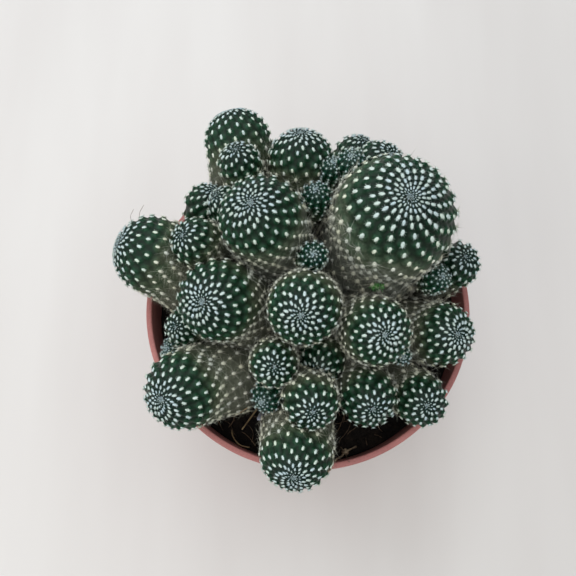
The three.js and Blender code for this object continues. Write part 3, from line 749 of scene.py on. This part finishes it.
def makePot():
    p = potShape
    wallTop = p["rimRadius"] - p["bandTaper"] - p["bandStep"]
    profile = [(0, 0), (p["baseRadius"] - p["chamfer"], 0), (p["baseRadius"], p["chamfer"]),
               (wallTop, p["bandBottom"] - 0.001), (p["rimRadius"] - p["bandTaper"], p["bandBottom"]),
               (p["rimRadius"], p["height"]), (p["rimInner"], p["height"]),
               *reversed(innerWall[:3]), (0, p["floor"])]
    bm = spinProfile(profile, p["steps"])
    rim = [e for e in bm.edges if all(v.co.z > p["height"] - 1e-5 for v in e.verts)
           and abs(e.verts[0].co.xy.length - e.verts[1].co.xy.length) < 1e-6]
    bevelRing(bm, rim, p["rimRound"], 4)
    level = [e for e in bm.edges if abs(e.verts[0].co.z - e.verts[1].co.z) < 1e-6
             and 0.001 < e.verts[0].co.z < p["bandBottom"] + 0.001]
    bevelRing(bm, [e for e in level if e.calc_face_angle(0) > 0.4], p["stepRound"], 2)
    shell, tool = makeObject("pot_shell", toMesh(bm, "pot_shell"), [potPlastic]), drainCutter()
    cut = shell.modifiers.new("drain", "BOOLEAN")
    cut.operation, cut.object, cut.solver = "DIFFERENCE", tool, "EXACT"
    bpy.context.view_layer.update()
    drained = bpy.data.meshes.new_from_object(shell.evaluated_get(bpy.context.evaluated_depsgraph_get()))
    bpy.data.objects.remove(shell)
    bpy.data.objects.remove(tool)
    moulding = addToScene("pot_moulding", drained)
    moulding.modifiers.new("crisp edges", "EDGE_SPLIT").split_angle = math.radians(40)
    return moulding


pot = makePot()
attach(pot, "root")
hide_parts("pot")
print("pot turned:", len(pot.data.polygons), "faces")

# --- potting soil: damp sieved peat, dark and fully matt, in clods of 5 mm and crumbs of 1 mm
peat, tree, shader, place = newMaterial("damp_peat", 0.95, 1.33)
clod = addNode(tree, "TexNoise", {"Scale": perMetre(5), "Detail": 6.0, "Roughness": 0.7},
               {"Vector": place})
speck = addNode(tree, "TexNoise", {"Scale": perMetre(0.9), "Detail": 4.0}, {"Vector": place})
colour = addNode(tree, "ValToRGB", {"stops": [(0.3, "#0c0908"), (0.5, "#18120f"), (0.66, "#2c231b"),
                                              (0.8, "#4c4034")]}, {"Fac": clod})
pale = addNode(tree, "ValToRGB", {"stops": [(0.4, "#8c8c8c"), (0.75, "#ffffff")]}, {"Fac": speck})
colour = addNode(tree, "Mix", {**multiply, 0: 0.8}, {6: colour, 7: pale})
bump = addNode(tree, "Bump", {"Strength": 0.9, "Distance": 0.0008}, {"Height": clod})
link(tree, {"Base Color": colour.outputs[2], "Normal": bump}, shader)


# one soft pattern gives a plain natural surface both its colour and its relief
def makeNaturalMaterial(name, roughness, ior, stops, coarse, detail, relief):
    material, tree, shader, place = newMaterial(name, roughness, ior)
    pattern = addNode(tree, "TexNoise", {"Scale": perMetre(coarse), "Detail": detail}, {"Vector": place})
    colour = addNode(tree, "ValToRGB", {"stops": stops}, {"Fac": pattern})
    bump = addNode(tree, "Bump", {"Strength": relief, "Distance": 0.0001}, {"Height": pattern})
    link(tree, {"Base Color": colour, "Normal": bump}, shader)
    return material


# dry fibre: dead roots, straw and a spent flower, tan to dark brown, matt and streaked
fibre, straw, shrivelled = [
    makeNaturalMaterial(name, 0.75, 1.45, [(0.35, dark), (0.65, light)], 2.5, 3.0, 0.4)
    for name, dark, light in (("dead_root_fibre", "#3b2d22", "#7a644d"),
                              ("dry_straw", "#8d7656", "#b59d76"),
                              ("shrivelled_flower", "#5b4a3a", "#a8977c"))]
# moss: wet bright leaflets, translucent green, smooth with a soft gloss
mossGreens = [(0.35, "#3c8f3c"), (0.52, "#62bf59"), (0.7, "#a5e394")]
moss = makeNaturalMaterial("young_moss", 0.6, 1.4, mossGreens, 0.8, 3.0, 0.0)
leafLight = moss.node_tree.nodes["Principled BSDF"].inputs
leafLight["Subsurface Weight"].default_value = 0.2
leafLight["Subsurface Scale"].default_value = 0.001
# a shed petal scrap: dry and thin, pale lavender and crumpled, its veins drawn 0.9 mm apart
petalTints = [(0.3, "#bdbed8"), (0.6, "#e4e5f4")]
petal = makeNaturalMaterial("dry_petal", 0.8, 1.4, petalTints, 0.9, 4.0, 0.5)


def makeSoil():
    gap, under, top = soilShape["wallGap"], soilShape["underside"], soilShape["top"]
    edge = float(innerRadiusAt(top)) - gap
    rings = np.linspace(edge, 0, int(edge / soilShape["ringStep"]))
    side = [(r - gap, max(z, under)) for r, z in innerWall[:3]]
    bm = spinProfile([(0, under), *side, *[(r, top) for r in rings]], soilShape["steps"])
    for vertex in bm.verts:
        if vertex.co.z > top - 1e-5:
            x, y = vertex.co.x, vertex.co.y
            grain = noise.fractal(Vector((x, y, 0)) * 260, 0.9, 2.0, 4) * soilShape["grain"]
            vertex.co.z = float(soilHeight(x, y)) + grain
    bmesh.ops.recalc_face_normals(bm, faces=bm.faces)
    piece = makeObject("soil_bed", toMesh(bm, "soil_bed"), [peat], "potting_soil")
    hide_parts("soil")
    return piece


# random spots on the soil that no stem covers
def openSpots(rng, tries, reach, room):
    turn = np.array([rng.uniform(0, 2 * math.pi) for _ in range(tries)])
    away = reach * np.sqrt([rng.random() for _ in range(tries)])
    x, y = away * np.cos(turn), away * np.sin(turn)
    spots = np.stack([x, y, soilHeight(x, y)], 1)
    clear = np.min([distanceTo(stem, spots) for stem in stems], axis=0)
    return spots[clear > room]


crumbShape = {"shapes": 4, "tries": 8000, "most": 2600, "reach": 0.0595, "room": 0.0004,
              "smallest": 0.0006, "range": 0.0022, "proud": 0.12}


# crumbs of peat and bark lie on the open soil
def scatterCrumbs():
    k, rng, shapes = crumbShape, random.Random(3), []
    for _ in range(k["shapes"]):
        bm = bmesh.new()
        bmesh.ops.create_icosphere(bm, subdivisions=1, radius=0.5)
        for vertex in bm.verts:
            vertex.co *= rng.uniform(0.65, 1.25)
        shapes.append(toMesh(bm, "crumb"))
    bm = bmesh.new()
    spots = openSpots(rng, k["tries"], k["reach"], k["room"])[:k["most"]]
    for x, y, z in spots:
        size = k["smallest"] + k["range"] * rng.random() ** 3
        turn = rng.uniform(0, 6.28)
        spin = Matrix.Rotation(turn, 4, Vector((rng.random(), rng.random(), rng.random())))
        flat = Matrix.Diagonal((size * rng.uniform(0.8, 1.5), size, size * rng.uniform(0.4, 0.8), 1))
        stamp(bm, rng.choice(shapes), moveTo((x, y, z + size * k["proud"])) @ spin @ flat)
    makeObject("soil_crumbs", toMesh(bm, "soil_crumbs"), [peat], "potting_soil")
    return len(spots)


# a thin bent fibre: a ring pushed along a wandering line
def addFibre(bm, points, width):
    ring = bmesh.ops.create_circle(bm, cap_ends=True, segments=5, radius=width)["verts"]
    heading = (points[1] - points[0]).normalized()
    bmesh.ops.transform(bm, verts=ring, matrix=moveTo(points[0]) @ turnedTo(heading))
    face = next(f for f in ring[0].link_faces if all(v in ring for v in f.verts))
    for i in range(1, len(points)):
        grown = bmesh.ops.extrude_face_region(bm, geom=[face])["geom"]
        face = next(f for f in grown if isinstance(f, bmesh.types.BMFace))
        verts = list(face.verts)
        centre = sum((v.co for v in verts), Vector()) / len(verts)
        ahead = (points[min(i + 1, len(points) - 1)] - points[i - 1]).normalized()
        turn = heading.rotation_difference(ahead).to_matrix().to_4x4()
        heading = ahead
        thin = Matrix.Scale(1 - 0.035 * (i / (len(points) - 1)) ** 3, 4)
        bmesh.ops.transform(bm, verts=verts, matrix=moveTo(points[i]) @ turn @ thin @ moveTo(-centre))


def makeFind(name, bm, material, slot):
    bmesh.ops.recalc_face_normals(bm, faces=bm.faces)
    makeObject(name, toMesh(bm, name), [material], slot)


fibreShape = {"tries": 300, "reach": 0.058, "room": 0.0008, "knots": 7, "step": 0.0016, "edge": 0.0596,
              "lift": 0.0007, "arch": 0.0012, "width": (0.00007, 0.00018)}


def scatterFibres():
    k, rng, bm = fibreShape, random.Random(5), bmesh.new()
    for x, y, _ in openSpots(rng, k["tries"], k["reach"], k["room"]):
        heading, points = rng.uniform(0, 2 * math.pi), []
        for i in range(k["knots"]):
            if math.hypot(x, y) < k["edge"]:
                lift = k["lift"] + k["arch"] * math.sin(i * 0.5)
                points.append(Vector((x, y, float(soilHeight(x, y)) + lift)))
            heading += rng.uniform(-0.5, 0.5)
            x, y = x + k["step"] * math.cos(heading), y + k["step"] * math.sin(heading)
        if len(points) > 2:
            addFibre(bm, points, rng.uniform(*k["width"]))
    makeFind("root_fibres", bm, fibre, "potting_soil")


soilBed = makeSoil()
crumbs = scatterCrumbs()
scatterFibres()
print("soil filled:", crumbs, "crumbs")

# --- small finds. Each is laid on the piece that the camera meets at its place in the photo
# (pixels of the 576-pixel picture), so it sits on what carries it from any side
bpy.context.view_layer.update()
carriers = [*skins, soilBed, pot]


def seenAt(u, v, lift=0.0):
    middle = cameraView["pixels"] / 2
    scale = cameraView["lens"] / cameraView["sensor"] * cameraView["pixels"]
    ray = camera.rotation_euler.to_matrix() @ Vector(((u - middle) / scale, (middle - v) / scale, -1))
    met = [m for m in (piece.ray_cast(camera.location, ray.normalized()) for piece in carriers) if m[0]]
    if not met:  # past the rim: a loose end hangs level with it
        reach = (potShape["height"] - camera.location.z) / ray.z
        return camera.location + ray * reach, Vector((0, 0, 1))
    _, point, normal, _ = min(met, key=lambda m: (m[1] - camera.location).length)
    return point + normal * lift, normal


def smoothLine(knots, count=14):
    t = np.linspace(0, len(knots) - 1, count)
    rows = np.array(knots)
    line = np.stack([np.interp(t, range(len(knots)), rows[:, k]) for k in range(3)], 1)
    line[1:-1] = (line[:-2] + line[2:] + line[1:-1]) / 3
    return [Vector(row) for row in line]


# straw and a root on the soil, stray hairs on a head: knots are pixels with a lift over what
# lies under them, and a hair's are laid out from its root at hairPixel metres a pixel
hairPixel = 0.00035
finds = {
    "straw_long": (straw, 0.00034, [(257, 409, 0.0022), (242, 430, 0.0006)]),
    "straw_short": (straw, 0.0002, [(245, 405, 0.0016), (236, 416, 0.0004)]),
    "loose_root": (straw, 0.00026, [(232, 428, 0.0004), (233, 436, 0.0014), (237, 443, 0.0012),
                                    (243, 446, 0.0014), (250, 447.5, 0.0006)]),
    "stray_hair_a": (fibre, 0.00008, [(138, 222, -0.0005), (141, 214, 0.003), (146, 208, 0.0048)]),
    "stray_hair_b": (fibre, 0.00007, [(131, 225, -0.0005), (131, 217, 0.0022), (135, 211, 0.0036)]),
}
for name, (material, width, knots) in finds.items():
    onHead, bm = name.startswith("stray"), bmesh.new()
    line = [seenAt(*knots[0])[0]]
    root = seenAt(*knots[0][:2])[0]
    for u, v, lift in knots[1:]:
        aside = Vector(((u - knots[0][0]) * hairPixel, (knots[0][1] - v) * hairPixel, lift))
        line.append(root + aside if onHead else seenAt(u, v, lift)[0])
    addFibre(bm, smoothLine(line), width)
    makeFind(name, bm, material, "cactus_skin" if onHead else "potting_soil")

# moss leaflets in a loose star
mossShape = {"seen": (377, 284.5, -0.0002), "spread": 0.0017, "leaves": 30, "length": (0.0016, 0.003),
             "wide": 0.00019, "point": 0.00005, "flat": 0.45}


def makeMoss():
    k, rng, bm = mossShape, random.Random(11), bmesh.new()
    centre, normal = seenAt(*k["seen"])
    upright = turnedTo(normal).to_3x3()
    for i in range(k["leaves"]):
        share, turn = math.sqrt((i + 0.5) / k["leaves"]), i * goldenAngle
        x, y = share * math.cos(turn), share * math.sin(turn)
        root = centre + upright @ Vector((x, y, 0)) * k["spread"]
        aim = upright @ Vector((x, y, rng.uniform(0.6, 1.1)))
        length = rng.uniform(*k["length"])
        leaf = bmesh.ops.create_cone(bm, cap_ends=True, segments=5, radius1=k["wide"], radius2=k["point"],
                                     depth=length)["verts"]
        flat = Matrix.Diagonal((1, k["flat"], 1, 1)) @ moveTo((0, 0, length / 2))
        bmesh.ops.transform(bm, verts=leaf, matrix=moveTo(root) @ turnedTo(aim) @ flat)
    makeFind("moss_tuft", bm, moss, "cactus_skin")


makeMoss()
petalShape = {"low": (265, 423, 0.0026), "high": (263, 412, 0.0034), "halfWidth": 0.0011,
              "cup": 0.0004, "crumple": 0.0004, "seed": 7, "thickness": 0.00012}


def makePetal():
    k, bm = petalShape, bmesh.new()
    noise.seed_set(k["seed"])  # without it the crumple changes from run to run
    low = seenAt(*k["low"])[0]
    along = seenAt(*k["high"])[0] - low
    across = Vector((1, 0.2, 0)).normalized() * k["halfWidth"]
    bmesh.ops.create_grid(bm, x_segments=5, y_segments=9, size=1)
    for vertex in bm.verts:
        x, y = vertex.co.x, (vertex.co.y + 1) / 2
        width = math.sin(math.pi * (0.12 + 0.8 * y))
        crumple = noise.noise_vector(Vector((x, y * 3, 1))) * k["crumple"]
        vertex.co = low + along * y + across * x * width + Vector((0, 0, k["cup"] * x * x)) + crumple
    bmesh.ops.solidify(bm, geom=bm.faces[:], thickness=k["thickness"])
    makeFind("petal_scrap", bm, petal, "potting_soil")


makePetal()

# the dried tube and stalk of a spent flower, shrivelled over the rim: each strand's half
# thickness and its knots
spentStrands = [
    (0.0004, [(356, 446, 0.0012), (351, 449, 0.002), (346, 453, 0.0018), (341, 457, 0.0012),
              (336, 461, 0.001), (330, 470, 0.0008)]),
    (0.00028, [(340, 447, 0.001), (343, 451, 0.002), (347, 456, 0.0016), (349, 462, 0.0008)]),
    (0.00045, [(334, 462, 0.0008), (331, 466, 0.0012), (327, 471, 0.0006)]),
]
seedPod = {"seen": (346, 453, 0.0014), "radius": 0.0011, "shape": (1.5, 1.0, 0.8), "wrinkle": 0.45}


def makeSpentFlower():
    bm = bmesh.new()
    for width, knots in spentStrands:
        addFibre(bm, smoothLine([seenAt(*knot)[0] for knot in knots]), width)
    centre = seenAt(*seedPod["seen"])[0]
    pod = bmesh.ops.create_icosphere(bm, subdivisions=2, radius=seedPod["radius"],
                                     matrix=moveTo(centre))["verts"]
    for vertex in pod:
        away = vertex.co - centre
        swell = 1 + seedPod["wrinkle"] * noise.noise(away * 1400)
        vertex.co = centre + away * Vector(seedPod["shape"]) * swell
    makeFind("spent_flower", bm, shrivelled, "potting_soil")


makeSpentFlower()
print("small finds laid")

# --- floor: a plain pale board, satin paint with a faint long grain
board, tree, shader, place = newMaterial("painted_board", 0.6)
stretch = addNode(tree, "Mapping", {"Scale": (1.0, 0.18, 1.0)}, {"Vector": place})
grain = addNode(tree, "TexNoise", {"Scale": perMetre(60), "Detail": 3.0}, {"Vector": stretch})
colour = addNode(tree, "ValToRGB", {"stops": [(0.3, "#c6c3bf"), (0.7, "#cdcbc7")]}, {"Fac": grain})
link(tree, {"Base Color": colour}, shader)
bm = bmesh.new()
bmesh.ops.create_grid(bm, x_segments=4, y_segments=4, size=2.5)
floorMesh = toMesh(bm, "floor")
floorMesh.materials.append(board)
floor = addToScene("floor", floorMesh)

# --- light: a wide soft window light from the upper left, a lamp for the ceiling, a faint fill
# from the left and a pale sky. Each lamp has its place, size, power and tint
lamps = {
    "window": ((-0.3, 0.52, 0.66), 0.9, 4.0, "#f6f9ff"),
    "ceiling": ((0.15, -0.1, 1.5), 1.8, 10, "#ffffff"),
    "side_fill": ((-0.5, -0.4, 0.55), 0.7, 2.2, "#fffdf8"),
}
skyStrength = 0.66
lampAim = Vector((0, 0, 0.08))
world = bpy.data.worlds.new("studio")
bpy.context.scene.world = world
world.use_nodes = True
sky = world.node_tree.nodes["Background"]
sky.inputs["Color"].default_value = linear("#f2f4f8")
sky.inputs["Strength"].default_value = skyStrength
bpy.context.scene.view_settings.view_transform = "Standard"
for name, (spot, size, power, tint) in lamps.items():
    lamp = addToScene(name, bpy.data.lights.new(name, "AREA"))
    lamp.data.size, lamp.data.energy, lamp.data.color = size, power, linear(tint)[:3]
    lamp.location = spot
    lamp.rotation_euler = (lampAim - Vector(spot)).to_track_quat("-Z", "Y").to_euler()
print("floor and light set")
